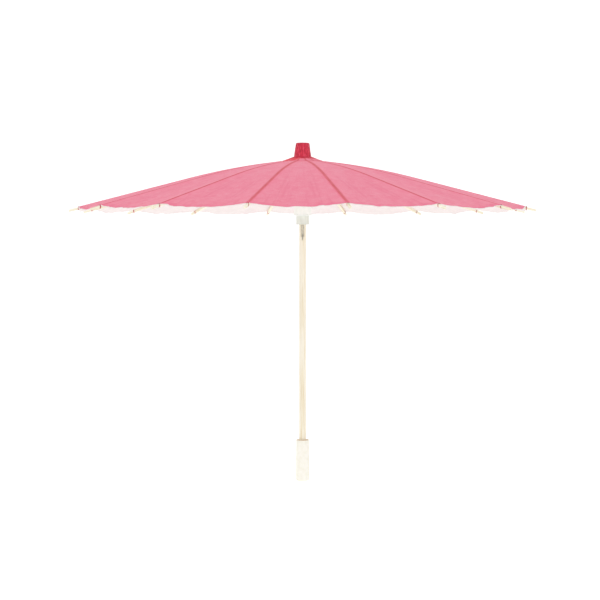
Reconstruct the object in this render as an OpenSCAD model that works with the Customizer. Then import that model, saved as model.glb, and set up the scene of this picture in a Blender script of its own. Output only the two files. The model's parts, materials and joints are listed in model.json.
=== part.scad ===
// Oil paper umbrella, open. Sixteen split-bamboo ribs and sixteen stretchers fold
// between a wooden crown at the top of the shaft and a plastic runner that slides on it.
// The origin is the middle of the handle's lower end, and +Z runs up the shaft.
// In each rib's own plane, X points outward and Z up.

/* [Shaft] */
// Diameter of the wooden shaft
shaft_d = 12; // [10:0.5:15]
// Length of the shaft, from its seat in the handle to its top inside the cap
shaft_len = 575; // [470:5:700]

/* [Handle] */
// Height of the handle
handle_h = 73; // [60:1:90]
// Widest diameter of the handle, along its lower grip
handle_d = 24.5; // [20:0.5:32]
// Diameter of the handle at its top
handle_top_d = 22.7; // [19:0.1:30]
// Height of the straight lower stretch of the handle
grip_h = 28; // [20:1:40]
// Radius of the rounding at the handle's lower end
handle_round = 4; // [2:0.5:6]
// Thickness of the handle's closed end below the shaft
handle_floor = 12; // [6:1:16]

/* [Cap] */
// Height of the cap on top of the canopy
cap_h = 26.5; // [18:0.5:34]
// Diameter of the cap at its top, before the bevel
cap_top_d = 23.2; // [18:0.2:26]
// Width of the bevel round the cap's top
cap_bevel = 1.2; // [0.4:0.1:2]
// Thickness of the cap above the shaft
cap_roof = 9; // [4:0.5:10]

/* [Hubs] */
// Wall between a hub's bore and its slots
hub_core = 1.6; // [1.2:0.1:3]
// Wall of a hub outside the hinge wire
hub_rim = 3.5; // [3:0.1:5]
// Height of the crown, the upper hub
crown_h = 16.5; // [14:0.5:22]
// Depth of the crown's hinge wire below its top
crown_wire_drop = 8; // [7:0.25:10]
// Height of the runner's notched flange
flange_h = 23.9; // [18:0.1:30]
// Height of the notches round the flange's foot
notch_h = 3; // [2:0.5:6]
// Height of the runner's plain sleeve
sleeve_h = 15.6; // [10:0.1:24]
// Diameter of the runner's sleeve
sleeve_d = 22.6; // [18:0.2:25]
// Diameter of the hinge wire in each hub
wire_d = 0.9; // [0.6:0.1:1.2]

/* [Ribs] */
// Radius that the rib tips reach
rib_reach = 406.7; // [335:0.1:490]
// Thickness of a rib
rib_t = 3.4; // [2.8:0.1:4.2]
// Depth of a rib at its joint with the stretcher
rib_depth = 7.8; // [7:0.1:9.4]
// Depth of a rib at its tip
rib_tip_depth = 4.2; // [3:0.1:6]
// Depth of a rib at the crown
rib_root_depth = 7; // [6:0.1:7.4]
// Length of bare rib beyond the paper
rib_bare = 15.2; // [8:0.1:24]
// Thickness of the thinned rib and stretcher ends in the hubs' slots
tongue_t = 2; // [1.6:0.1:2.1]
// Length of the thinned ends
tongue_len = 30; // [24:1:40]
// Radius of a rib's rounded end in the crown
rib_end_r = 3.5; // [3:0.1:3.8]

/* [Stretchers] */
// Length of a stretcher between its two pivots, the same as from crown wire to joint
link_len = 200; // [165:1:240]
// Depth of a stretcher
stretcher_depth = 5; // [4:0.1:6]
// Thickness of a stretcher
stretcher_t = 3.2; // [2.6:0.1:4]
// Depth of the fork that straddles the rib
fork_depth = 4.4; // [3.6:0.1:5]
// Thickness of each prong of the fork
prong_t = 1.5; // [1.2:0.1:2]
// Length of the slot in the fork, inward of the joint
fork_slot = 42; // [40:1:56]
// Length of the full-width block behind the fork's slot
fork_block = 12; // [8:1:20]
// Radius of a stretcher's rounded end in the runner
stretcher_end_r = 3; // [2.6:0.1:3.4]
// Diameter of the joint pins
pin_d = 1.2; // [1:0.1:1.6]
// Depth of the joint pin below the rib's top edge
pin_drop = 5.2; // [4.6:0.1:5.6]

/* [Canopy] */
// Thickness of the oiled paper
paper_t = 0.5; // [0.3:0.1:0.8]
// Height of the canopy above the crown's wire, where it leaves the collar
canopy_rise = 2.7; // [2:0.1:4]
// Radius at which the canopy leaves the collar
collar_r = 35; // [28:1:40]
// Radius beyond which the canopy runs straight
straight_r = 200; // [160:5:240]
// Fall per unit of radius at the collar
slope_in = 0.11; // [0.08:0.01:0.16]
// Fall per unit of radius on the straight part
slope_out = 0.264; // [0.2:0.002:0.3]
// Radius where the paper begins, outside the crown
paper_in_r = 17; // [16.5:0.1:19]
// Height that the collar climbs to the cap
collar_climb = 6.6; // [5:0.1:8]

/* [Catch] */
// Diameter of the catch's wire
catch_d = 1; // [0.8:0.1:1.2]
// Height of the catch, from its foot to its crossbar
catch_h = 24; // [18:0.5:30]
// Distance that the crossbar stands out of the shaft
catch_out = 3.5; // [2.5:0.1:4.5]
// Length of the crossbar, between the middles of its bends
catch_bar = 4.2; // [3:0.1:5]

/* [Fits] */
// Clearance round pieces that are pressed or glued, per side
seat_gap = 0.05; // [0.03:0.01:0.08]
// Clearance between the runner and the shaft, per side
slide_gap = 0.3; // [0.2:0.05:0.5]
// Clearance beside the ends in the hubs' slots and beside a rib in its fork
side_gap = 0.2; // [0.15:0.05:0.3]
// Clearance between a pin's or wire's surface and the hole that turns on it
turn_gap = 0.08; // [0.05:0.01:0.1]
// Gap between neighbouring pieces of paper, and between paper and collar
paper_gap = 0.3; // [0.2:0.05:0.5]
// Thickness of the glue between a rib and the paper
glue_gap = 0.2; // [0.15:0.05:0.3]

/* [Hidden] */
$fn = 64;

rib_count = 16;
pitch = 360 / rib_count;
half = pitch / 2;
over = 1; // how far a cut runs past the face that it opens

// Heights up the shaft
shaft_r = shaft_d / 2;
shaft_top = handle_floor + shaft_len;
cap_top = shaft_top + cap_roof;
cap_z = cap_top - cap_h;
crown_z = cap_z - crown_h;
crown_wire_z = cap_z - crown_wire_drop;

// Radii of the two hubs, which are alike
end_clear = 0.85; // between the round end of a rib or stretcher and the slot's floor
slot_in_r = shaft_r + hub_core;
pivot_r = slot_in_r + end_clear + rib_end_r;
hub_r = pivot_r + hub_rim;
slot_w = tongue_t + 2 * side_gap;
wire_r = wire_d / 2;
wire_bow = 0.05; // how far the wire's curve leaves a hole's axis, within one rib
turn_r = wire_r + turn_gap + wire_bow;
groove_gap = 0.3;
groove_h = wire_d + groove_gap;

// The paper's outer face in the plane of a rib: a curve that steepens, then a straight fall
function bend_fall(r) =
    slope_in * (r - collar_r)
    + (slope_out - slope_in) * pow(max(r - collar_r, 0), 2) / (2 * (straight_r - collar_r));
function paper_z(r) =
    crown_wire_z + canopy_rise - bend_fall(min(r, straight_r))
    - slope_out * max(r - straight_r, 0);
function rib_top_z(r) = paper_z(r) - paper_t - glue_gap;

// The joint lies link_len from the crown wire and pin_drop below the rib's top edge,
// and the runner's wire mirrors the crown wire about the joint's level
function joint_angle(steps, angle) =
    steps == 0
        ? angle
        : joint_angle(steps - 1, asin((crown_wire_z + pin_drop
            - rib_top_z(pivot_r + link_len * cos(angle))) / link_len));
open_angle = joint_angle(8, 10);
joint_r = pivot_r + link_len * cos(open_angle);
joint_z = crown_wire_z - link_len * sin(open_angle);
runner_wire_z = crown_wire_z - 2 * link_len * sin(open_angle);
paper_reach = rib_reach - rib_bare;

// Crown, with a cross pin through its solid roof
roof_gap = 1.2; // between a rib's end and the slot's roof
crown_slot_top = crown_wire_z + rib_end_r + roof_gap;
crown_pin_r = 0.75;
crown_pin_z = (crown_slot_top + cap_z) / 2;
crown_pin_sunk = 0.2; // how far each end of the pin lies below the crown's face

// Runner, from its top down
floor_gap = 0.5; // between a stretcher's end and the slot's floor
notch_core = 5.55; // from the slots' inner end to a notch in the flange's foot
flange_top = runner_wire_z + hub_rim;
flange_z = flange_top - flange_h;
sleeve_z = flange_z - sleeve_h;
runner_slot_z = runner_wire_z - stretcher_end_r - floor_gap;
notch_r = slot_in_r + notch_core;

// Catch, with its crossbar just under the runner
catch_r = catch_d / 2;
catch_gap = 1.2;
catch_top_z = sleeve_z - catch_gap - catch_r;
catch_foot_z = catch_top_z - catch_h;
foot_in = 2.6; // how far the foot's axis lies in front of the shaft's axis
stem_in = 0.3; // how far the stem's centre lies below the shaft's face
neck_share = 1 / 3; // how far up the catch its triangle starts
pocket_gap = 0.4; // beside the wire, each side
pocket_room = 2; // over the crossbar, which rises as it folds in
pocket_depth = 4.6;
catch_neck_z = catch_foot_z + catch_h * neck_share;
pocket_z = catch_foot_z + catch_h * neck_share / 2;
pocket_top = catch_top_z + pocket_room;
slot_foot = catch_foot_z - catch_d - pocket_gap;
foot_chord = sqrt(pow(shaft_r, 2) - pow(foot_in, 2));
foot_sunk = 0.8; // how far each end of the foot lies below the shaft's face

// Angle of rib n, from 1 to 16: no rib lies on the X or Y axis
function rib_angle(n) = half + pitch * (n - 1);

// A flat outline, drawn in X and Z, given a thickness about the rib's plane
module plate(thickness) {
    rotate([90, 0, 0]) linear_extrude(thickness, center = true) children();
}

// A round hole or pin across the rib's plane
module cross_bar(x, z, r, length) {
    translate([x, 0, z]) rotate([90, 0, 0]) cylinder(r = r, h = length, center = true);
}

// Everything between two radii that is further than reach from the rib's plane
module cheeks(x0, x1, reach, z0, z1) {
    for (side = [-1, 1])
        translate([x0, side > 0 ? reach : -reach - 10, z0]) cube([x1 - x0, 10, z1 - z0]);
}

module shaft() {
    color("wheat") difference() {
        translate([0, 0, handle_floor]) cylinder(r = shaft_r, h = shaft_len);
        catch_pocket(catch_bar + catch_d + 2 * pocket_gap, pocket_z);
        catch_pocket(catch_d + 2 * pocket_gap, slot_foot);
        // cross hole for the catch's foot
        translate([0, -foot_in, catch_foot_z]) rotate([0, 90, 0])
            cylinder(r = catch_r + turn_gap, h = shaft_d, center = true);
        crown_pin_hole();
    }
}

// Pocket that the catch folds into, on the -Y side, from z up
module catch_pocket(width, z) {
    translate([-width / 2, -shaft_r - over, z])
        cube([width, pocket_depth + over, pocket_top - z]);
}

module handle() {
    ring_depth = 0.4;
    ring_w = 1;
    ring_drops = [5, 10.5];
    edge = 0.8;
    r = handle_d / 2;
    top_r = handle_top_d / 2;
    taper = (r - top_r) / (handle_h - edge - grip_h);
    color("ivory") difference() {
        rotate_extrude() polygon(concat(
            [[0, 0]],
            [for (a = [0:15:90])
                [r - handle_round + handle_round * sin(a), handle_round * (1 - cos(a))]],
            [[r, grip_h], [top_r, handle_h - edge], [top_r - edge, handle_h], [0, handle_h]]
        ));
        translate([0, 0, handle_floor])
            cylinder(r = shaft_r + seat_gap, h = handle_h);
        // two fine rings below the top
        for (down = ring_drops)
            translate([0, 0, handle_h - down]) difference() {
                cylinder(r = r + over, h = ring_w);
                translate([0, 0, -over])
                    cylinder(r = top_r + taper * down - ring_depth, h = ring_w + 2 * over);
            }
    }
}

module cap() {
    top_r = cap_top_d / 2;
    color("crimson") difference() {
        rotate_extrude() polygon([
            [0, cap_z], [hub_r, cap_z], [top_r, cap_top - cap_bevel],
            [top_r - cap_bevel, cap_top], [0, cap_top]
        ]);
        translate([0, 0, cap_z - over])
            cylinder(r = shaft_r + seat_gap, h = shaft_top - cap_z + over);
    }
}

module crown_pin_hole() {
    translate([0, 0, crown_pin_z]) rotate([90, 0, 0])
        cylinder(r = crown_pin_r + seat_gap, h = 2 * hub_r + 2 * over, center = true);
}

module crown() {
    color("tan") difference() {
        translate([0, 0, crown_z]) cylinder(r = hub_r, h = crown_h);
        translate([0, 0, crown_z - over])
            cylinder(r = shaft_r + seat_gap, h = crown_h + 2 * over);
        for (n = [1:rib_count]) rotate([0, 0, rib_angle(n)])
            translate([slot_in_r, -slot_w / 2, crown_z - over])
                cube([hub_r, slot_w, crown_slot_top - crown_z + over]);
        wire_groove(crown_wire_z);
        crown_pin_hole();
    }
}

// Groove round a hub that the hinge wire lies in
module wire_groove(z) {
    translate([0, 0, z - groove_h / 2]) difference() {
        cylinder(r = hub_r + over, h = groove_h);
        translate([0, 0, -over])
            cylinder(r = pivot_r - wire_r - seat_gap, h = groove_h + 2 * over);
    }
}

module hinge_wire(z) {
    translate([0, 0, z]) rotate_extrude() translate([pivot_r, 0]) circle(r = wire_r);
}

module crown_wire() {
    color("silver") hinge_wire(crown_wire_z);
}

module crown_pin() {
    color("silver") translate([0, 0, crown_pin_z]) rotate([90, 0, 0])
        cylinder(r = crown_pin_r, h = 2 * (hub_r - crown_pin_sunk), center = true);
}

// Half of a paper piece: a sheet, flat across, that falls along the middle of the panel,
// cut from the rib's plane to the middle of the panel on one side
module half_panel(profile, r_out, side) {
    cut_r = r_out / cos(half) + 10;
    gap_shift = paper_gap / 2 / sin(half);
    intersection() {
        rotate([0, 0, side * half]) rotate([90, 0, 0])
            linear_extrude(2 * cut_r, center = true) polygon(profile);
        linear_extrude(cap_top) polygon(side > 0
            ? [[0, 0], [cut_r, 0], [cut_r * cos(half) + gap_shift, cut_r * sin(half)],
                [gap_shift, 0]]
            : [[0, 0], [gap_shift, 0], [cut_r * cos(half) + gap_shift, -cut_r * sin(half)],
                [cut_r, 0]]);
    }
}

// A sheet's outline along the middle of the panel, from its top points in a rib's plane
function sheet_outline(top, thickness) = concat(
    [for (p = top) [p.x * cos(half), p.y]],
    [for (k = [len(top) - 1:-1:0]) [top[k].x * cos(half), top[k].y - thickness]]
);

paper_steps = 8;
paper_bend = [for (k = [0:paper_steps])
    let(r = collar_r + (straight_r - collar_r) * k / paper_steps) [r, paper_z(r)]];
paper_end = paper_reach / cos(half) + 2;
paper_top = concat(
    [[paper_in_r - 2, paper_z(paper_in_r - 2)]],
    paper_bend,
    [[paper_end, paper_z(paper_end)]]
);

module canopy(n) {
    color("hotpink") rotate([0, 0, rib_angle(n)]) difference() {
        intersection() {
            union() {
                half_panel(sheet_outline(paper_top, paper_t), paper_end, 1);
                half_panel(sheet_outline(paper_top, paper_t), paper_end, -1);
            }
            cylinder(r = paper_reach, h = cap_top, $fn = 128);
        }
        cylinder(r = paper_in_r, h = cap_top);
    }
}

// Stiff paper collar that covers the ribs' ends, round the foot of the cap
collar_out_z = paper_z(collar_r) + paper_gap;
module crown_collar() {
    top_z = collar_out_z + collar_climb;
    color("palevioletred") rotate_extrude() polygon([
        [hub_r, top_z], [collar_r, collar_out_z],
        [collar_r, collar_out_z + paper_t], [hub_r, top_z + paper_t]
    ]);
}

// Depth of a rib: grows from the crown to the joint, then tapers to the tip
function rib_depth_at(r) = r < joint_r
    ? rib_root_depth + (rib_depth - rib_root_depth) * (r - pivot_r) / (joint_r - pivot_r)
    : rib_depth + (rib_tip_depth - rib_depth) * (r - joint_r) / (rib_reach - joint_r);

rib_stations = concat(
    [paper_in_r, tongue_len],
    [for (k = [0:paper_steps]) collar_r + (straight_r - collar_r) * k / paper_steps],
    straight_r < joint_r ? [joint_r] : [],
    [rib_reach]
);

module rib(n) {
    color("burlywood") rotate([0, 0, rib_angle(n)]) difference() {
        plate(rib_t) polygon(concat(
            [for (a = [270:-15:90])
                [pivot_r + rib_end_r * cos(a), crown_wire_z + rib_end_r * sin(a)]],
            [for (r = rib_stations) [r, rib_top_z(r)]],
            [for (k = [len(rib_stations) - 1:-1:0])
                let(r = rib_stations[k]) [r, rib_top_z(r) - rib_depth_at(r)]]
        ));
        cheeks(0, pivot_r + tongue_len, tongue_t / 2, crown_z, cap_z);
        cross_bar(pivot_r, crown_wire_z, turn_r, rib_t + 2 * over);
        cross_bar(joint_r, joint_z, pin_d / 2 + turn_gap, rib_t + 2 * over);
    }
}

// One stretcher, drawn along X from the runner's wire and then raised to its angle
module stretcher(n) {
    fork_half = rib_t / 2 + side_gap;
    width = 2 * (fork_half + prong_t);
    slot_x = link_len - fork_slot;
    block_x = slot_x - fork_block;
    bar = stretcher_depth / 2;
    fork = fork_depth / 2;
    color("burlywood") rotate([0, 0, rib_angle(n)])
    translate([pivot_r, 0, runner_wire_z]) rotate([0, -open_angle, 0]) {
        difference() {
            plate(width) polygon(concat(
                [for (a = [300:-15:60]) stretcher_end_r * [cos(a), sin(a)]],
                [[block_x, bar], [slot_x, fork]],
                [for (a = [90:-15:-90]) [link_len + fork * cos(a), fork * sin(a)]],
                [[slot_x, -fork], [block_x, -bar]]
            ));
            cheeks(-10, block_x, stretcher_t / 2, -10, 10);
            cheeks(-10, tongue_len, tongue_t / 2, -10, 10);
            translate([slot_x, -fork_half, -10]) cube([fork_slot + 10, 2 * fork_half, 20]);
            cross_bar(0, 0, turn_r, width + 2 * over);
            cross_bar(link_len, 0, pin_d / 2 + seat_gap / 2, width + 2 * over);
        }
        cross_bar(link_len, 0, pin_d / 2, width);
    }
}

module runner() {
    color("white") difference() {
        union() {
            translate([0, 0, flange_z]) cylinder(r = hub_r, h = flange_h);
            translate([0, 0, sleeve_z]) cylinder(r = sleeve_d / 2, h = sleeve_h + over);
        }
        translate([0, 0, sleeve_z - over])
            cylinder(r = shaft_r + slide_gap, h = flange_top - sleeve_z + 2 * over);
        for (n = [1:rib_count]) rotate([0, 0, rib_angle(n)]) {
            translate([slot_in_r, -slot_w / 2, runner_slot_z]) cube([hub_r, slot_w, flange_h]);
            translate([notch_r, -slot_w / 2, flange_z - over])
                cube([hub_r, slot_w, notch_h + over]);
        }
        wire_groove(runner_wire_z);
    }
}

module runner_wire() {
    color("silver") hinge_wire(runner_wire_z);
}

// Wire through a list of points, each run a twelve-sided bar that ends inside the next
module wire(points, r) {
    lap = 0.6 * r;
    for (k = [0:len(points) - 2]) {
        run = points[k + 1] - points[k];
        translate(points[k])
            rotate([0, acos(run.z / norm(run)), atan2(run.y, run.x)])
                translate([0, 0, -lap])
                    cylinder(r = r, h = norm(run) + 2 * lap, $fn = 12);
    }
}

// The catch: a foot in its cross hole, a stem in the slot, and a triangle of wire
// whose crossbar stands out under the runner
module catch_spring() {
    stem_y = stem_in - shaft_r;
    bar_y = -shaft_r - catch_out;
    foot = [0, -foot_in, catch_foot_z];
    bend = [0, stem_y, catch_foot_z];
    neck = [0, stem_y, catch_neck_z];
    left = [-catch_bar / 2, bar_y, catch_top_z];
    right = [catch_bar / 2, bar_y, catch_top_z];
    color("dimgray") {
        translate(foot) rotate([0, 90, 0])
            cylinder(r = catch_r, h = 2 * (foot_chord - foot_sunk), center = true);
        wire([foot, bend, neck, left, right, neck], catch_r);
    }
}

shaft();
handle();
cap();
crown();
crown_wire();
crown_pin();
crown_collar();
runner();
runner_wire();
catch_spring();
for (n = [1:rib_count]) {
    two_digits = str(n < 10 ? "0" : "", n);
    rib(n);
    stretcher(n);
    canopy(n);
}
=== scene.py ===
"""Oil paper umbrella, open and upright on the end of its handle.

The paper, its collar, the cap, the thread knots and the wire catch are modelled here. The ribs,
stretchers, hubs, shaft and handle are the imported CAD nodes, with procedural materials.
"""
import json
import math

import bpy
from mathutils import Matrix, Vector, noise


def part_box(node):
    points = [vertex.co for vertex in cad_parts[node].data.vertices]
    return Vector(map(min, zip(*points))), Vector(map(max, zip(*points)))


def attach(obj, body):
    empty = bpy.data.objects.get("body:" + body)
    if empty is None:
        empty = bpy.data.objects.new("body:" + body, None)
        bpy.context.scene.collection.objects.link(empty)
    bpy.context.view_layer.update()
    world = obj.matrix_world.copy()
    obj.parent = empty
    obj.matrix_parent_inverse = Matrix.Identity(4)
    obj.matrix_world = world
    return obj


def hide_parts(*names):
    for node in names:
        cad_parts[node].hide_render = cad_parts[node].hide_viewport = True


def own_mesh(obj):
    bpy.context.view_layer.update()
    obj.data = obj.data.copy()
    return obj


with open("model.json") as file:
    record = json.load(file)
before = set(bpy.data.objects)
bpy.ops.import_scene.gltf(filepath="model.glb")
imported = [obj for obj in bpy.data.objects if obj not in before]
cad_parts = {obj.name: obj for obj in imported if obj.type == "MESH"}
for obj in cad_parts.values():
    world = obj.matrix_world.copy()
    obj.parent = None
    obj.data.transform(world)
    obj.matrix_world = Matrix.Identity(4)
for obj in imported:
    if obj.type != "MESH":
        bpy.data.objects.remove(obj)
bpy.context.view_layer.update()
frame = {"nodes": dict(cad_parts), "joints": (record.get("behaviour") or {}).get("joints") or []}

MM = 0.001

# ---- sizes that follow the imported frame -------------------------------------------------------

rib_joints = [j for j in frame["joints"] if j["child"].startswith("rib_")]
RIB_COUNT = len(rib_joints)
HALF_PITCH = math.pi / RIB_COUNT
WIRE_Z = rib_joints[0]["pos_m"][2]
SHAFT_R = (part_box("shaft")[1].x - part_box("shaft")[0].x) / 2
CAP_LOW, CAP_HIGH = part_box("cap")
CATCH_LOW, CATCH_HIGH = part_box("catch_spring")
HANDLE_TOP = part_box("handle")[1].z

# ---- the paper --------------------------------------------------------------------------------

PAPER_RISE = 2.7 * MM  # over the crown's wire, at the collar's edge
COLLAR_R = 35 * MM
STRAIGHT_R = 200 * MM  # past here the ribs are straight
SLOPE_IN = 0.11
SLOPE_OUT = 0.264
PAPER_IN_R = 17 * MM
RIM_R = 391.5 * MM
PAPER_T = 0.45 * MM
SAG = 4.2 * MM  # how far the middle of a panel hangs below its ribs, at the rim
RIPPLE = 1.7 * MM
CREASE = 0.3 * MM
DECKLE = 4.0 * MM  # how far the torn rim wanders
BITE = 16 * MM  # depth of the deepest tears
SEAM_GAP = 0.02 * MM

ROWS = 34
COLUMNS = 26
ROW_CROWDING = 1.5  # above 1, rows crowd towards the rim

# ---- the other pieces -------------------------------------------------------------------------

RIB_T = 3.4 * MM
RIB_PAPERED_TO = 380 * MM  # how far out the ribs' top faces wear paper
RIB_TOP_DROP = 0.7 * MM  # from the paper's outer face to a rib's top edge
RIB_DEPTH_AT_RIM = 4.5 * MM
KNOT_R = 390.4 * MM
KNOT_TURNS = 2.5
KNOT_STEPS = 22  # points in each turn
KNOT_PITCH = 0.6 * MM
THREAD_R = 0.3 * MM
THREAD_SIDES = 8

CAP_TOP_R = 11.6 * MM
CAP_BEVEL = 1.2 * MM
CAP_WRINKLE = 0.55 * MM
CAP_DIP = 0.5 * MM  # the hollow in the middle of the cap's top
CAP_AROUND = 144
CAP_SIDE_ROWS = 22
CAP_SIDE_SHARE = 0.9  # how much of the cap's height coordinate its side takes

COLLAR_CLIMB = 7.2 * MM
COLLAR_T = 0.4 * MM
COLLAR_LAP = 1.2 * MM  # how far its edge reaches past COLLAR_R, on average
COLLAR_TEAR = 1.3 * MM
COLLAR_RIDGE = 0.5 * MM
COLLAR_BUCKLE = 0.35 * MM
COLLAR_LIFT = 0.06 * MM
COLLAR_INSET = 0.1 * MM  # how far it runs in under the cap's foot
COLLAR_ROWS = 12
COLLAR_STEPS = 16  # points from rib to rib

CATCH_R = 0.5 * MM
CATCH_STEM_IN = 0.3 * MM
FOOT_IN = 2.6 * MM
WIRE_SHARE = 0.8  # the drawn wire's radius, as a share of CATCH_R
WIRE_SIDES = 12
WIRE_BEND = 0.8 * MM
WIRE_SPREAD = 0.45 * MM  # half the distance between the stem's two wires
BAR_HALF = 2.1 * MM

# ---- the studio and the camera, in metres and watts -------------------------------------------

FLOOR_HALF = 6.0
FLOOR_GREY = 0.9
FLOOR_GLOW = 0.36
BEND_Y = 2.5
BEND_R = 2.0
BEND_STEPS = 16
SKY_STRENGTH = 0.74
LIGHT_SIZE = 1.6
KEY_POWER = 11
KEY_PLACE = (-1.6, -2.2, 2.4)
KEY_AIM = (0, 0, 0.45)
FILL_POWER = 4
FILL_PLACE = (2.0, -1.8, 1.0)
FILL_AIM = (0, 0, 0.4)

SENSOR_WIDTH = 36
LENS = 92.3
CAMERA_SWING = math.radians(1.2)
CAMERA_PLACE = Vector((-0.0046, -2.71, 0.433))
CAMERA_AIM = Vector((-0.0046, 0, 0.320))


def srgb(red, green, blue):
    """A linear colour from 8-bit sRGB values."""

    def linear(value):
        share = value / 255
        if share <= 0.04045:
            return share / 12.92
        return ((share + 0.055) / 1.055) ** 2.4

    return (linear(red), linear(green), linear(blue), 1.0)


# ---- material building blocks -----------------------------------------------------------------


def new_material(name, roughness, specular, sheen=0.0, metallic=0.0):
    """A material with its tree and shader. Numbers that are the same all over sit on the shader."""
    made = bpy.data.materials.new(name)
    made.use_nodes = True
    tree = made.node_tree
    shader = tree.nodes["Principled BSDF"]
    shader.inputs["Roughness"].default_value = roughness
    shader.inputs["Specular IOR Level"].default_value = specular
    shader.inputs["Sheen Weight"].default_value = sheen
    shader.inputs["Metallic"].default_value = metallic
    return made, tree, shader


def feed(tree, socket, value):
    """Links value to socket if it is a socket too, and sets it if it is a number or a colour."""
    if isinstance(value, bpy.types.NodeSocket):
        tree.links.new(value, socket)
    else:
        socket.default_value = value


def calc(tree, operation, first, second=0.0):
    made = tree.nodes.new("ShaderNodeMath")
    made.operation = operation
    feed(tree, made.inputs[0], first)
    feed(tree, made.inputs[1], second)
    return made.outputs[0]


def vector_of(tree, x, y, z):
    made = tree.nodes.new("ShaderNodeCombineXYZ")
    feed(tree, made.inputs[0], x)
    feed(tree, made.inputs[1], y)
    feed(tree, made.inputs[2], z)
    return made.outputs[0]


def stretched(tree, *parts):
    """A vector from three parts, each a number or a pair of a socket and what to multiply it by."""
    made = []
    for part in parts:
        made.append(calc(tree, "MULTIPLY", *part) if isinstance(part, tuple) else part)
    return vector_of(tree, *made)


def mixed(tree, first, share, second, rest):
    """share of first and rest of second."""
    one = calc(tree, "MULTIPLY", first, share)
    other = calc(tree, "MULTIPLY", second, rest)
    return calc(tree, "ADD", one, other)


def split(tree, vector):
    made = tree.nodes.new("ShaderNodeSeparateXYZ")
    feed(tree, made.inputs[0], vector)
    return made.outputs[0], made.outputs[1], made.outputs[2]


def uv_of(tree, layer):
    made = tree.nodes.new("ShaderNodeUVMap")
    made.uv_map = layer
    return split(tree, made.outputs[0])


def place(tree):
    """The point on the object, in metres, at rest."""
    return split(tree, tree.nodes.new("ShaderNodeTexCoord").outputs["Object"])


def cloud(tree, vector, scale=1.0, detail=3.0, rough=0.55):
    made = tree.nodes.new("ShaderNodeTexNoise")
    feed(tree, made.inputs["Vector"], vector)
    made.inputs["Scale"].default_value = scale
    made.inputs["Detail"].default_value = detail
    made.inputs["Roughness"].default_value = rough
    return made.outputs["Fac"]


def fade(tree, value, start, end, low=0.0, high=1.0):
    """low before start, high after end, and smooth between them."""
    made = tree.nodes.new("ShaderNodeMapRange")
    made.interpolation_type = "SMOOTHSTEP"
    feed(tree, made.inputs["Value"], value)
    feed(tree, made.inputs["From Min"], start)
    feed(tree, made.inputs["From Max"], end)
    feed(tree, made.inputs["To Min"], low)
    feed(tree, made.inputs["To Max"], high)
    return made.outputs["Result"]


def blend_colour(tree, share, first, second):
    made = tree.nodes.new("ShaderNodeMix")
    made.data_type = "RGBA"
    feed(tree, made.inputs[0], share)
    feed(tree, made.inputs[6], first)
    feed(tree, made.inputs[7], second)
    return made.outputs[2]


def ramp(tree, share, *stops):
    made = tree.nodes.new("ShaderNodeValToRGB")
    feed(tree, made.inputs[0], share)
    elements = made.color_ramp.elements
    while len(elements) < len(stops):
        elements.new(0.5)
    for element, (position, colour) in zip(elements, stops):
        element.position = position
        element.color = colour
    return made.outputs[0]


def bump(tree, shader, height, distance, strength=1.0):
    made = tree.nodes.new("ShaderNodeBump")
    made.inputs["Strength"].default_value = strength
    made.inputs["Distance"].default_value = distance
    feed(tree, made.inputs["Height"], height)
    tree.links.new(made.outputs[0], shader.inputs["Normal"])


def paper_fibres(tree, along, across):
    """Long fibres that run both ways through the sheet, and the cloudiness of pulp."""
    lengthwise = cloud(tree, stretched(tree, (along, 90.0), (across, 900.0), 0.0))
    crosswise = cloud(tree, stretched(tree, (along, 700.0), (across, 80.0), 5.0))
    pulp = cloud(tree, vector_of(tree, along, across, 0.0), scale=55.0, detail=5.0, rough=0.65)
    woven = calc(tree, "ADD", lengthwise, crosswise)
    return calc(tree, "MULTIPLY", calc(tree, "ADD", woven, pulp), 1 / 3)


# ---- materials --------------------------------------------------------------------------------


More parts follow.
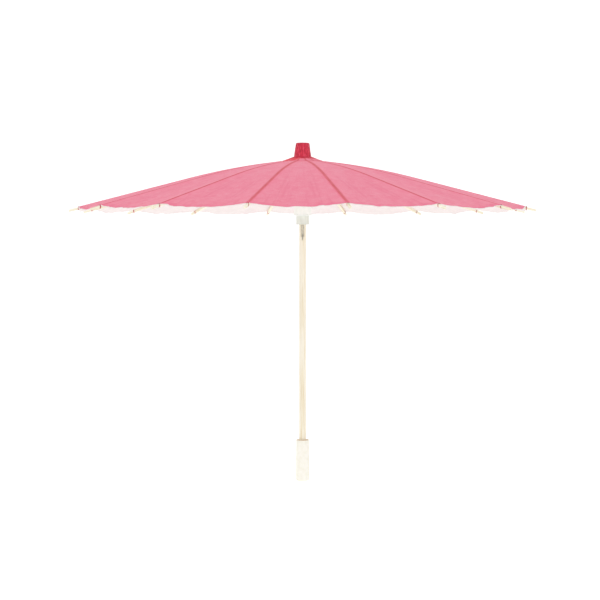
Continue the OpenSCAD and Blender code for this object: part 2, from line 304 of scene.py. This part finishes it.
def pink_paper():
    made, tree, shader = new_material("paper_pink", 0.72, specular=0.25, sheen=0.08)
    along, across, _ = uv_of(tree, "paper")
    edge, share, _ = uv_of(tree, "rim")
    fibres = paper_fibres(tree, along, across)
    colour = ramp(
        tree,
        fibres,
        (0.34, srgb(247, 116, 146)),
        (0.5, srgb(253, 140, 165)),
        (0.68, srgb(255, 168, 188)),
    )
    # broad darker streaks along the ribs: painted shade of the panels' folds
    streak_shade = cloud(tree, stretched(tree, (along, 5.0), (share, 5.0), 0.0))
    colour = blend_colour(
        tree, fade(tree, streak_shade, 0.5, 0.72, 0.0, 0.5), colour, srgb(244, 112, 144)
    )
    # painted shade along the fold that each half panel takes along its middle
    fold_shade = calc(tree, "ABSOLUTE", calc(tree, "SUBTRACT", share, 0.5))
    colour = blend_colour(tree, fade(tree, fold_shade, 0.0, 0.03, 0.22, 0.0), colour, srgb(238, 108, 136))
    # the rib's glue seam, and its shadow through the paper painted as a darker line, with painted
    # shade beside it
    off_rib = calc(tree, "ABSOLUTE", across)
    waver = cloud(tree, stretched(tree, (along, 30.0), 0.0, 2.0))
    rib_shade = fade(tree, off_rib, 0.0016, 0.0055, 0.6, 0.0)
    colour = blend_colour(tree, rib_shade, colour, srgb(236, 74, 104))
    rib_shadow_line = fade(tree, off_rib, 0.0012, 0.0028, 1.0, 0.0)
    rib_shadow_line = calc(tree, "MULTIPLY", rib_shadow_line, fade(tree, waver, 0.3, 0.7, 0.45, 0.95))
    colour = blend_colour(tree, rib_shadow_line, colour, srgb(222, 84, 92))
    # near the cap the dye is redder
    crown = fade(tree, along, 0.03, 0.075, 0.35, 0.0)
    colour = blend_colour(tree, crown, colour, srgb(248, 96, 112))
    # the rim took more dye, and its torn edge shows undyed fibre
    ragged = cloud(tree, stretched(tree, (across, 160.0), (along, 60.0), 8.0))
    colour = blend_colour(
        tree, fade(tree, edge, 0.002, 0.02, 0.55, 0.0), colour, srgb(248, 102, 142)
    )
    torn = calc(tree, "MULTIPLY", ragged, 0.0032)
    deckle = fade(tree, edge, torn, calc(tree, "ADD", torn, 0.0005), 1.0, 0.0)
    colour = blend_colour(tree, deckle, colour, srgb(251, 242, 238))
    tree.links.new(colour, shader.inputs["Base Color"])
    relief = calc(tree, "ADD", fibres, calc(tree, "MULTIPLY", rib_shadow_line, 1.2))
    bump(tree, shader, relief, 0.00025, 0.6)
    return made


def white_paper():
    made, tree, shader = new_material("paper_white", 0.8, specular=0.2, sheen=0.05)
    along, across, _ = uv_of(tree, "paper")
    fibres = paper_fibres(tree, along, across)
    colour = ramp(
        tree,
        fibres,
        (0.34, srgb(231, 217, 217)),
        (0.5, srgb(238, 228, 226)),
        (0.68, srgb(243, 236, 233)),
    )
    # the dye strikes through a little
    stain = cloud(tree, vector_of(tree, along, across, 3.0), scale=22.0, detail=4.0)
    colour = blend_colour(tree, fade(tree, stain, 0.5, 0.8, 0.0, 0.3), colour, srgb(238, 206, 210))
    # beside the ribs: glue, and painted shade from the ribs
    glue_and_rib_shade = fade(tree, calc(tree, "ABSOLUTE", across), 0.002, 0.006, 0.4, 0.0)
    colour = blend_colour(tree, glue_and_rib_shade, colour, srgb(232, 206, 204))
    tree.links.new(colour, shader.inputs["Base Color"])
    bump(tree, shader, fibres, 0.0002, 0.6)
    return made


def collar_paper():
    made, tree, shader = new_material("paper_collar", 0.72, specular=0.25, sheen=0.08)
    along, turn, _ = uv_of(tree, "paper")
    x, y, _ = place(tree)
    fibres = paper_fibres(tree, along, calc(tree, "MULTIPLY", turn, 0.025))
    colour = ramp(
        tree,
        fibres,
        (0.34, srgb(246, 112, 142)),
        (0.5, srgb(252, 136, 160)),
        (0.68, srgb(255, 160, 180)),
    )
    # the ribs' shadows show through here too, painted as darker lines
    nearest = calc(tree, "PINGPONG", turn, HALF_PITCH)
    off_rib = calc(tree, "MULTIPLY", calc(tree, "SUBTRACT", HALF_PITCH, nearest), along)
    rib_shadow_line = fade(tree, off_rib, 0.0008, 0.0022, 0.75, 0.0)
    colour = blend_colour(tree, rib_shadow_line, colour, srgb(222, 84, 92))
    # red dye from the cap has run into the paper, most on one side
    runs = cloud(tree, stretched(tree, (x, 90.0), (y, 90.0), 0.0))
    side = fade(tree, x, -0.022, 0.004, 0.034, 0.008)
    reach = calc(tree, "ADD", calc(tree, "MULTIPLY", runs, side), 0.0165)
    stained = fade(tree, along, reach, calc(tree, "ADD", reach, 0.007), 0.95, 0.0)
    colour = blend_colour(tree, stained, colour, srgb(244, 72, 84))
    foot = calc(tree, "ADD", calc(tree, "MULTIPLY", runs, 0.012), 0.0155)
    foot = fade(tree, along, foot, calc(tree, "ADD", foot, 0.004), 0.95, 0.0)
    front = fade(tree, y, -0.012, -0.002, 1.0, 0.25)
    colour = blend_colour(tree, calc(tree, "MULTIPLY", foot, front), colour, srgb(206, 28, 62))
    tree.links.new(colour, shader.inputs["Base Color"])
    bump(tree, shader, fibres, 0.0003, 0.7)
    return made


def cap_paper():
    made, tree, shader = new_material("cap_crimson_paper", 0.5, specular=0.45, sheen=0.1)
    turn, height, _ = uv_of(tree, "cap")
    # creases that run up the side
    crease = cloud(tree, stretched(tree, (turn, 46.0), (height, 3.0), 0.0), detail=4.0)
    fleck = cloud(tree, stretched(tree, (turn, 90.0), (height, 26.0), 4.0), detail=4.0)
    texture = mixed(tree, crease, 0.65, fleck, 0.35)
    colour = ramp(
        tree,
        texture,
        (0.36, srgb(150, 14, 40)),
        (0.46, srgb(206, 24, 60)),
        (0.56, srgb(232, 48, 84)),
        (0.66, srgb(255, 116, 142)),
    )
    dark_foot = fade(tree, height, 0.0, 0.1, 0.75, 0.0)
    colour = blend_colour(tree, dark_foot, colour, srgb(176, 18, 48))
    dark_lip = fade(
        tree, calc(tree, "ABSOLUTE", calc(tree, "SUBTRACT", height, 0.93)), 0.0, 0.06, 0.6, 0.0
    )
    colour = blend_colour(tree, dark_lip, colour, srgb(176, 18, 50))
    tree.links.new(colour, shader.inputs["Base Color"])
    bump(tree, shader, texture, 0.0006, 0.8)
    return made


def bamboo(name, slope, pale, mid, dark, papered_to=0.0):
    """Split bamboo, with its fibres along a bar that falls by slope in its own radial plane.

    The top face, from the collar out to papered_to, wears the canopy's paper.
    """
    made, tree, shader = new_material(name, 0.5, specular=0.4)
    x, y, z = place(tree)
    radius = calc(
        tree, "SQRT", calc(tree, "ADD", calc(tree, "MULTIPLY", x, x), calc(tree, "MULTIPLY", y, y))
    )
    angle = calc(tree, "ARCTAN2", y, x)
    level = calc(tree, "SUBTRACT", z, calc(tree, "MULTIPLY", radius, slope))
    fibre = cloud(tree, stretched(tree, (radius, 22.0), (angle, 420.0), (level, 700.0)), detail=4.0)
    patch = cloud(tree, stretched(tree, (radius, 12.0), (angle, 5.0), 0.0))
    tone = mixed(tree, fibre, 0.7, patch, 0.3)
    colour = ramp(tree, tone, (0.34, dark), (0.5, mid), (0.66, pale))
    if papered_to:
        _, _, upright = split(tree, tree.nodes.new("ShaderNodeTexCoord").outputs["Normal"])
        on_top = fade(tree, upright, 0.1, 0.3)
        patchy = calc(tree, "ADD", radius, calc(tree, "MULTIPLY", patch, 0.006))
        glued = calc(
            tree, "MULTIPLY", on_top, fade(tree, patchy, papered_to, papered_to + 0.001, 1.0, 0.0)
        )
        dyed = ramp(tree, tone, (0.36, srgb(236, 92, 124)), (0.64, srgb(252, 132, 158)))
        colour = blend_colour(tree, glued, colour, dyed)
    tree.links.new(colour, shader.inputs["Base Color"])
    bump(tree, shader, fibre, 0.00025, 0.6)
    return made


def shaft_wood():
    made, tree, shader = new_material("shaft_wood", 0.55, specular=0.35)
    x, y, z = place(tree)
    grain = cloud(tree, stretched(tree, (x, 620.0), (y, 620.0), (z, 14.0)), detail=5.0)
    patch = cloud(tree, stretched(tree, (x, 60.0), (y, 60.0), (z, 9.0)))
    tone = mixed(tree, grain, 0.7, patch, 0.3)
    colour = ramp(
        tree,
        tone,
        (0.32, srgb(230, 214, 180)),
        (0.45, srgb(243, 234, 210)),
        (0.56, srgb(249, 243, 226)),
        (0.7, srgb(253, 249, 238)),
    )
    tree.links.new(colour, shader.inputs["Base Color"])
    bump(tree, shader, grain, 0.0002, 0.5)
    return made


def handle_plastic():
    made, tree, shader = new_material("handle_plastic", 0.38, specular=0.5)
    x, y, z = place(tree)
    mottle = cloud(tree, vector_of(tree, x, y, z), scale=120.0, detail=4.0)
    colour = ramp(
        tree,
        mottle,
        (0.3, srgb(244, 241, 226)),
        (0.5, srgb(250, 248, 237)),
        (0.7, srgb(253, 251, 243)),
    )
    # a painted shadow ring round the top edge, where the shaft goes in
    top_edge_shade = fade(tree, z, HANDLE_TOP - 1.3 * MM, HANDLE_TOP - 0.4 * MM, 0.0, 0.85)
    broken = cloud(tree, vector_of(tree, x, y, 0.0), scale=420.0, detail=2.0)
    top_edge_shade = calc(tree, "MULTIPLY", top_edge_shade, fade(tree, broken, 0.3, 0.6, 0.5, 1.0))
    colour = blend_colour(tree, top_edge_shade, colour, srgb(196, 164, 116))
    scuff = cloud(tree, stretched(tree, (x, 300.0), (y, 300.0), (z, 60.0)), detail=4.0)
    colour = blend_colour(tree, fade(tree, scuff, 0.6, 0.8, 0.0, 0.3), colour, srgb(236, 230, 208))
    tree.links.new(colour, shader.inputs["Base Color"])
    tree.links.new(fade(tree, mottle, 0.3, 0.7, 0.3, 0.5), shader.inputs["Roughness"])
    bump(tree, shader, mottle, 0.0002, 0.3)
    return made


def runner_plastic():
    made, tree, shader = new_material("runner_plastic", 0.4, specular=0.5)
    x, y, z = place(tree)
    flow = cloud(tree, stretched(tree, (x, 150.0), (y, 150.0), (z, 40.0)), detail=4.0)
    colour = ramp(
        tree,
        flow,
        (0.3, srgb(246, 249, 246)),
        (0.5, srgb(252, 254, 251)),
        (0.7, srgb(255, 255, 254)),
    )
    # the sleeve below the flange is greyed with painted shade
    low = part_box("runner")[0].z
    patchy = fade(tree, z, low + 14 * MM, low + 16.5 * MM, 0.8, 0.0)
    patchy = calc(tree, "MULTIPLY", patchy, fade(tree, flow, 0.35, 0.65, 0.75, 1.0))
    colour = blend_colour(tree, patchy, colour, srgb(222, 226, 214))
    tree.links.new(colour, shader.inputs["Base Color"])
    tree.links.new(fade(tree, flow, 0.3, 0.7, 0.34, 0.5), shader.inputs["Roughness"])
    bump(tree, shader, flow, 0.0002, 0.3)
    return made


def crown_wood():
    made, tree, shader = new_material("crown_wood", 0.6, specular=0.35)
    x, y, z = place(tree)
    rings = cloud(tree, stretched(tree, (x, 260.0), (y, 260.0), (z, 30.0)), detail=5.0)
    colour = ramp(
        tree,
        rings,
        (0.3, srgb(188, 150, 104)),
        (0.5, srgb(214, 180, 134)),
        (0.7, srgb(230, 202, 160)),
    )
    tree.links.new(colour, shader.inputs["Base Color"])
    bump(tree, shader, rings, 0.0003, 0.6)
    return made


def steel_wire():
    made, tree, shader = new_material("wire_steel", 0.35, specular=0.5, metallic=1.0)
    x, y, z = place(tree)
    tarnish = cloud(tree, vector_of(tree, x, y, z), scale=700.0, detail=4.0)
    colour = ramp(
        tree,
        tarnish,
        (0.3, srgb(140, 136, 130)),
        (0.5, srgb(196, 194, 190)),
        (0.7, srgb(222, 221, 218)),
    )
    tree.links.new(colour, shader.inputs["Base Color"])
    tree.links.new(fade(tree, tarnish, 0.3, 0.7, 0.5, 0.25), shader.inputs["Roughness"])
    bump(tree, shader, tarnish, 0.0001, 0.3)
    return made


def crimson_thread():
    made, tree, shader = new_material("thread_crimson", 0.75, specular=0.25, sheen=0.25)
    turn, around, _ = uv_of(tree, "tube")
    twist = calc(tree, "SINE", mixed(tree, turn, 260.0, around, 12.6))
    tone = fade(tree, twist, -1.0, 1.0)
    colour = ramp(
        tree, tone, (0.0, srgb(150, 20, 44)), (0.5, srgb(206, 40, 70)), (1.0, srgb(232, 84, 108))
    )
    tree.links.new(colour, shader.inputs["Base Color"])
    bump(tree, shader, tone, 0.0002, 0.8)
    return made


# ---- mesh building ----------------------------------------------------------------------------


def add_piece(name, points, faces, materials, body, uvs, face_materials=None):
    """A mesh object that rides a body. uvs is {layer: [(u, v) of each point]}."""
    mesh = bpy.data.meshes.new(name)
    mesh.from_pydata([tuple(p) for p in points], [], faces)
    for material in materials:
        mesh.materials.append(material)
    if face_materials:
        mesh.polygons.foreach_set("material_index", face_materials)
    for layer, values in uvs.items():
        uv = mesh.uv_layers.new(name=layer)
        for loop in mesh.loops:
            uv.data[loop.index].uv = values[loop.vertex_index]
    mesh.validate()
    mesh.shade_smooth()
    piece = bpy.data.objects.new(name, mesh)
    bpy.context.scene.collection.objects.link(piece)
    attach(piece, body)
    return piece


def sharpen(piece, degrees):
    """Keeps edges sharper than degrees crisp under smooth shading."""
    piece.data.set_sharp_from_angle(angle=math.radians(degrees))


def paper_z(r):
    """Height of the paper's outer face over a rib."""
    bent = min(r, STRAIGHT_R)
    drop = SLOPE_IN * (bent - COLLAR_R)
    if r > COLLAR_R:
        drop += (SLOPE_OUT - SLOPE_IN) * (bent - COLLAR_R) ** 2 / (2 * (STRAIGHT_R - COLLAR_R))
    return WIRE_Z + PAPER_RISE - drop - SLOPE_OUT * max(r - STRAIGHT_R, 0)


def surface_z(r, off_rib):
    """Height of the outer face at r from the axis, off_rib radians from the nearest rib."""
    along = r * math.cos(HALF_PITCH - off_rib) / math.cos(HALF_PITCH)
    share = r * math.sin(off_rib) / (along * math.sin(HALF_PITCH) * math.cos(HALF_PITCH))
    return paper_z(along) - (1 - (1 - min(share, 1.0)) ** 2) * along / RIM_R * SAG


def rim_radius(angle):
    """Radius of the torn rim, which wanders and has a few deeper tears."""
    x, y = math.cos(angle), math.sin(angle)
    slow = noise.noise(Vector((x * 5, y * 5, 1.7)))
    quick = noise.noise(Vector((x * 24, y * 24, 4.1)))
    fine = noise.noise(Vector((x * 85, y * 85, 9.3)))
    tear = max(0.0, noise.noise(Vector((x * 17, y * 17, 7.9))) - 0.28)
    return RIM_R + DECKLE * (0.7 * slow + 0.5 * quick + 0.3 * fine) - BITE * tear


def paper_point(rib_angle, side, r, share):
    """A point of the outer face: r along the rib, share from 0 at the rib to 1 at mid panel."""
    reach = r * math.cos(HALF_PITCH)
    rib = Vector((r, 0.0))
    middle = Vector((reach * math.cos(HALF_PITCH), side * reach * math.sin(HALF_PITCH)))
    flat = rib.lerp(middle, share)
    flat.rotate(Matrix.Rotation(rib_angle, 2))
    hollow = 1 - (1 - share) ** 2
    out = r / RIM_R
    wave = noise.noise(Vector((flat.x * 26, flat.y * 26, 2.0)))
    wave += 0.6 * noise.noise(Vector((flat.x * 70, flat.y * 70, 6.0)))
    crease = max(0.0, 1 - abs(share - 0.5) / 0.09)
    z = paper_z(r) - hollow * out * SAG + hollow * out**2 * RIPPLE * wave + out * CREASE * crease
    return Vector((flat.x, flat.y, z))


def half_panel(number, rib_angle, side, pink, white):
    """The paper from a rib to the middle of the panel beside it, as a closed thin sheet."""
    name = f"paper_{number:02d}_{'left' if side > 0 else 'right'}"
    outer, coordinates, rims = [], [], []
    for row in range(ROWS + 1):
        step = 1 - (1 - row / ROWS) ** ROW_CROWDING
        for column in range(COLUMNS + 1):
            share = column / COLUMNS
            stretch = math.hypot(
                1 - share * math.sin(HALF_PITCH) ** 2,
                share * math.cos(HALF_PITCH) * math.sin(HALF_PITCH),
            )
            turn = side * math.atan2(
                share * math.cos(HALF_PITCH) * math.sin(HALF_PITCH),
                1 - share * math.sin(HALF_PITCH) ** 2,
            )
            last = rim_radius(rib_angle + turn) / stretch
            r = PAPER_IN_R + (last - PAPER_IN_R) * step
            point = paper_point(rib_angle, side, r, share)
            outer.append(point)
            coordinates.append((r, side * share * r * math.sin(HALF_PITCH)))
            rims.append((last - r, share))
    width = COLUMNS + 1
    count = len(outer)
    middle_angle = rib_angle + side * HALF_PITCH
    middle_side = Vector((-math.sin(middle_angle), math.cos(middle_angle), 0))
    for row in range(ROWS + 1):
        outer[row * width + COLUMNS] -= side * middle_side * SEAM_GAP
    inner = [point - Vector((0, 0, PAPER_T)) for point in outer]
    faces, face_materials = [], []

    def face(*corners, material):
        faces.append(corners if side > 0 else corners[::-1])
        face_materials.append(material)

    for row in range(ROWS):
        for column in range(COLUMNS):
            a = row * width + column
            b, c, d = a + 1, a + width + 1, a + width
            face(a, d, c, b, material=0)
            face(count + a, count + b, count + c, count + d, material=1)
    for row in range(ROWS):
        for a, turned in ((row * width, False), (row * width + COLUMNS, True)):
            quad = (a, count + a, count + a + width, a + width)
            face(*(quad[::-1] if turned else quad), material=1)
    for column in range(COLUMNS):
        a = column
        face(a, a + 1, count + a + 1, count + a, material=1)
        a = ROWS * width + column
        face(a, count + a, count + a + 1, a + 1, material=1)
    piece = add_piece(
        name,
        outer + inner,
        faces,
        [pink, white],
        f"rib_{number:02d}",
        {"paper": coordinates * 2, "rim": rims * 2},
        face_materials,
    )
    sharpen(piece, 40)
    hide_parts(f"canopy_{number:02d}")

    # the paper's heights at the collar and the rim, and a mesh of its own
    inner_z, outer_z = paper_z(COLLAR_R), paper_z(RIM_R)
    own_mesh(piece)

    # the length of the curve of the rib that the paper is glued to
    steps = 60
    length = 0.0
    for step in range(steps):
        r0 = PAPER_IN_R + (RIM_R - PAPER_IN_R) * step / steps
        r1 = PAPER_IN_R + (RIM_R - PAPER_IN_R) * (step + 1) / steps
        length += math.hypot(r1 - r0, paper_z(r1) - paper_z(r0))


def ring_mesh(name, rings, materials, body, layer, uv_at, closed=False):
    """Joins rings of points into a skin. Each ring has as many points as the others."""
    around = len(rings[0])
    points, coordinates = [], []
    for row, ring in enumerate(rings):
        for step, point in enumerate(ring):
            points.append(point)
            coordinates.append(uv_at(row, step / around))
    faces = []
    last = len(rings) if closed else len(rings) - 1
    for row in range(last):
        below = row * around
        above = (row + 1) % len(rings) * around
        for step in range(around):
            after = (step + 1) % around
            faces.append((below + step, below + after, above + after, above + step))
    if not closed:
        faces.append(tuple(range(around))[::-1])
        faces.append(tuple(range((len(rings) - 1) * around, len(rings) * around)))
    return add_piece(name, points, faces, materials, body, {layer: coordinates})


def cap_piece(material):
    """The cap: paper wrapped round a tapered core and gathered over its top."""
    low_r = (CAP_HIGH.x - CAP_LOW.x) / 2
    high_z = CAP_HIGH.z
    low_z = CAP_LOW.z
    # each entry: radius, height, how wrinkled, and the height coordinate
    profile = []
    for row in range(CAP_SIDE_ROWS + 1):
        share = row / CAP_SIDE_ROWS
        radius = low_r + (CAP_TOP_R - low_r) * share
        z = low_z + (high_z - CAP_BEVEL - low_z) * share
        profile.append((radius, z, 1.0, share * CAP_SIDE_SHARE))
    for step in (0.35, 0.7, 1.0):
        turned = step * math.pi / 2
        radius = CAP_TOP_R - CAP_BEVEL * (1 - math.cos(turned)) * 1.1
        z = high_z - CAP_BEVEL * (1 - math.sin(turned))
        profile.append((radius, z, 0.7, CAP_SIDE_SHARE + step * 0.05))
    for share in (0.8, 0.55, 0.3, 0.1):
        profile.append((CAP_TOP_R * 0.9 * share, high_z - CAP_DIP * (1 - share), 1.0, 1.0))
    rings = []
    for radius, z, wrinkled, share in profile:
        ring = []
        for step in range(CAP_AROUND):
            angle = 2 * math.pi * step / CAP_AROUND
            x, y = math.cos(angle), math.sin(angle)
            flute = noise.noise(Vector((x * 7, y * 7, share * 1.6)))
            pleat = noise.noise(Vector((x * 19, y * 19, share * 2.4 + 5)))
            push = CAP_WRINKLE * wrinkled * (0.75 * flute + 0.5 * pleat + 0.35)
            if share < 1.0:
                ring.append(Vector((x * (radius + push), y * (radius + push), z)))
            else:
                ring.append(Vector((x * radius, y * radius, z + push * 0.8)))
        rings.append(ring)
    heights = [entry[3] for entry in profile]
    piece = ring_mesh(
        "cap_wrapped", rings, [material], "root", "cap", lambda row, turn: (turn, heights[row])
    )
    sharpen(piece, 60)
    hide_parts("cap")


def collar_piece(material):
    """The collar: stiff paper with a ridge over each rib, pasted down round the cap's foot."""
    around = RIB_COUNT * COLLAR_STEPS
    in_r = (CAP_HIGH.x - CAP_LOW.x) / 2 - COLLAR_INSET
    # a cone that flares out to lie on the paper, and thins to its torn edge
    climb = COLLAR_CLIMB - paper_z(in_r) + paper_z(COLLAR_R)
    over_rows, under_rows = [], []
    for row in range(COLLAR_ROWS + 1):
        share = row / COLLAR_ROWS
        raised = math.sin(math.pi * share)
        thick = COLLAR_T * (1 - 0.75 * share)
        over_ring, under_ring = [], []
        for step in range(around):
            angle = 2 * math.pi * step / around
            x, y = math.cos(angle), math.sin(angle)
            torn = noise.noise(Vector((x * 9, y * 9, 3.3)))
            torn += 0.5 * noise.noise(Vector((x * 30, y * 30, 8.0)))
            out_r = COLLAR_R + COLLAR_LAP + COLLAR_TEAR * torn
            r = in_r + (out_r - in_r) * share
            off_rib = abs((angle + 2 * math.pi) % (2 * HALF_PITCH) - HALF_PITCH)
            ridge = COLLAR_RIDGE * (1 - off_rib / HALF_PITCH) * raised**0.5
            buckle = COLLAR_BUCKLE * noise.noise(Vector((x * 12, y * 12, share * 3))) * raised
            z = surface_z(r, off_rib) + COLLAR_LIFT + thick + climb * (1 - share) ** 1.35
            z += ridge + buckle
            over_ring.append(Vector((x * r, y * r, z)))
            under_ring.append(Vector((x * r, y * r, z - thick)))
        over_rows.append(over_ring)
        under_rows.append(under_ring)
    rings = [ring[::-1] for ring in over_rows] + [ring[::-1] for ring in under_rows[::-1]]
    radii = [math.hypot(ring[0].x, ring[0].y) for ring in rings]
    piece = ring_mesh(
        "paper_collar",
        rings,
        [material],
        "root",
        "paper",
        lambda row, turn: (radii[row], turn * 2 * math.pi),
        closed=True,
    )
    sharpen(piece, 50)
    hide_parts("crown_collar")


def rounded(points, radius, steps=5):
    """The path with each corner turned on a short curve."""
    path = [points[0]]
    for before, corner, after in zip(points, points[1:], points[2:]):
        start = corner + (before - corner).normalized() * min(radius, (before - corner).length / 2)
        end = corner + (after - corner).normalized() * min(radius, (after - corner).length / 2)
        for step in range(steps + 1):
            t = step / steps
            path.append(start * (1 - t) ** 2 + corner * 2 * t * (1 - t) + end * t**2)
    path.append(points[-1])
    return path


def tube(path, radius, sides):
    """Rings of points round a path, carried along it without twisting."""
    rings, lengths = [], [0.0]
    direction = (path[1] - path[0]).normalized()
    normal = direction.orthogonal().normalized()
    for index, point in enumerate(path):
        before, after = path[max(index - 1, 0)], path[min(index + 1, len(path) - 1)]
        turned = (after - before).normalized()
        normal = (normal - turned * normal.dot(turned)).normalized()
        binormal = turned.cross(normal)
        ring = []
        for side in range(sides):
            angle = 2 * math.pi * side / sides
            ring.append(point + (normal * math.cos(angle) + binormal * math.sin(angle)) * radius)
        rings.append(ring)
        if index:
            lengths.append(lengths[-1] + (point - path[index - 1]).length)
    return rings, lengths


def tube_piece(name, path, radius, sides, material, body):
    rings, lengths = tube(path, radius, sides)
    return ring_mesh(name, rings, [material], body, "tube", lambda row, turn: (lengths[row], turn))


def knot_piece(number, rib_angle, material):
    """Crimson thread wound round the rib and the corner of the paper."""
    half_width = RIB_T / 2 + THREAD_R
    top = THREAD_R
    bottom = -RIB_TOP_DROP - RIB_DEPTH_AT_RIM - THREAD_R
    centre, half_height = (top + bottom) / 2, (top - bottom) / 2
    steps = int(KNOT_TURNS * KNOT_STEPS)
    path = []
    for step in range(steps + 1):
        turn = 2 * math.pi * KNOT_TURNS * step / steps
        square = (abs(math.cos(turn)) ** 5 + abs(math.sin(turn)) ** 5) ** -0.2
        r = KNOT_R + KNOT_PITCH * (KNOT_TURNS * step / steps - KNOT_TURNS / 2)
        y = half_width * square * math.sin(turn)
        z = paper_z(r) + centre + half_height * square * math.cos(turn)
        path.append(Matrix.Rotation(rib_angle, 3, "Z") @ Vector((r, y, z)))
    name = f"knot_{number:02d}"
    piece = tube_piece(name, path, THREAD_R, THREAD_SIDES, material, f"rib_{number:02d}")


def catch_piece(material):
    """The catch's one round wire: foot, stem and triangle."""
    foot_z = CATCH_LOW.z + CATCH_R
    bar_z = CATCH_HIGH.z - CATCH_R
    bar_y = CATCH_LOW.y + CATCH_R
    foot_half = (CATCH_HIGH.x - CATCH_LOW.x) / 2
    stem_y = CATCH_STEM_IN - SHAFT_R
    neck_z = foot_z + (bar_z - foot_z) / 3
    corners = [
        Vector((-foot_half, -FOOT_IN, foot_z)),
        Vector((-WIRE_SPREAD, -FOOT_IN, foot_z)),
        Vector((-WIRE_SPREAD, stem_y, foot_z)),
        Vector((-WIRE_SPREAD, stem_y, neck_z)),
        Vector((-BAR_HALF, bar_y, bar_z)),
        Vector((BAR_HALF, bar_y, bar_z)),
        Vector((WIRE_SPREAD, stem_y, neck_z)),
        Vector((WIRE_SPREAD, stem_y, foot_z)),
        Vector((WIRE_SPREAD, -FOOT_IN, foot_z)),
        Vector((foot_half, -FOOT_IN, foot_z)),
    ]
    path = rounded(corners, WIRE_BEND)
    piece = tube_piece("catch_wire", path, CATCH_R * WIRE_SHARE, WIRE_SIDES, material, "catch")
    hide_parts("catch_spring")


# ---- the umbrella -----------------------------------------------------------------------------


def repaint(name, material):
    for slot in frame["nodes"][name].material_slots:
        slot.material = material


def build_umbrella():
    pink, white = pink_paper(), white_paper()
    wire, thread = steel_wire(), crimson_thread()
    rib_bamboo = bamboo(
        "rib_bamboo",
        -0.228,
        srgb(253, 250, 236),
        srgb(249, 242, 220),
        srgb(232, 214, 172),
        papered_to=RIB_PAPERED_TO,
    )
    stretcher_bamboo = bamboo(
        "stretcher_bamboo", 0.185, srgb(250, 243, 220), srgb(241, 227, 190), srgb(216, 190, 140)
    )
    for number, joint in enumerate(rib_joints, start=1):
        rib_angle = math.atan2(-joint["axis"][0], joint["axis"][1])
        half_panel(number, rib_angle, 1, pink, white)
        half_panel(number, rib_angle, -1, pink, white)
        knot_piece(number, rib_angle, thread)
        repaint(f"rib_{number:02d}", rib_bamboo)
        repaint(f"stretcher_{number:02d}", stretcher_bamboo)
    cap_piece(cap_paper())
    collar_piece(collar_paper())
    catch_piece(wire)
    repaint("shaft", shaft_wood())
    repaint("handle", handle_plastic())
    repaint("runner", runner_plastic())
    repaint("crown", crown_wood())
    for name in ("crown_wire", "crown_pin", "runner_wire"):
        repaint(name, wire)


# ---- the studio -------------------------------------------------------------------------------


def build_studio():
    """A white floor that curves up into a backdrop, and soft light from all round."""
    made, _, shader = new_material("studio_floor", 0.9, specular=0.1)
    shader.inputs["Base Color"].default_value = (FLOOR_GREY, FLOOR_GREY, FLOOR_GREY, 1)
    shader.inputs["Emission Color"].default_value = (1, 1, 1, 1)
    shader.inputs["Emission Strength"].default_value = FLOOR_GLOW
    profile = [(-FLOOR_HALF, 0.0), (BEND_Y, 0.0)]
    for step in range(1, BEND_STEPS + 1):
        angle = step / BEND_STEPS * math.pi / 2
        profile.append((BEND_Y + BEND_R * math.sin(angle), BEND_R - BEND_R * math.cos(angle)))
    profile.append((BEND_Y + BEND_R, FLOOR_HALF))
    points, faces = [], []
    for y, z in profile:
        points.append((-FLOOR_HALF, y, z))
        points.append((FLOOR_HALF, y, z))
    for row in range(len(profile) - 1):
        a = row * 2
        faces.append((a, a + 1, a + 3, a + 2))
    mesh = bpy.data.meshes.new("studio_floor")
    mesh.from_pydata(points, [], faces)
    mesh.materials.append(made)
    mesh.shade_smooth()
    floor = bpy.data.objects.new("studio_floor", mesh)
    bpy.context.scene.collection.objects.link(floor)

    world = bpy.data.worlds.new("studio")
    world.use_nodes = True
    sky = world.node_tree.nodes["Background"]
    sky.inputs["Color"].default_value = (1, 1, 1, 1)
    sky.inputs["Strength"].default_value = SKY_STRENGTH
    bpy.context.scene.world = world
    bpy.context.scene.view_settings.view_transform = "Standard"

    def area_light(name, place_at, aim, power):
        light = bpy.data.lights.new(name, "AREA")
        light.shape = "DISK"
        light.size = LIGHT_SIZE
        light.energy = power
        lamp = bpy.data.objects.new(name, light)
        lamp.location = place_at
        lamp.rotation_euler = (Vector(aim) - Vector(place_at)).to_track_quat("-Z", "Y").to_euler()
        bpy.context.scene.collection.objects.link(lamp)

    area_light("key", KEY_PLACE, KEY_AIM, KEY_POWER)
    area_light("fill", FILL_PLACE, FILL_AIM, FILL_POWER)


def build_camera():
    camera = bpy.data.cameras.new("camera")
    camera.sensor_width = SENSOR_WIDTH
    camera.lens = LENS
    eye = bpy.data.objects.new("camera", camera)
    swing = Matrix.Rotation(CAMERA_SWING, 3, "Z")
    eye.location = swing @ CAMERA_PLACE
    aim = swing @ CAMERA_AIM
    eye.rotation_euler = (aim - eye.location).to_track_quat("-Z", "Y").to_euler()
    bpy.context.scene.collection.objects.link(eye)
    bpy.context.scene.camera = eye


build_camera()
build_studio()
build_umbrella()
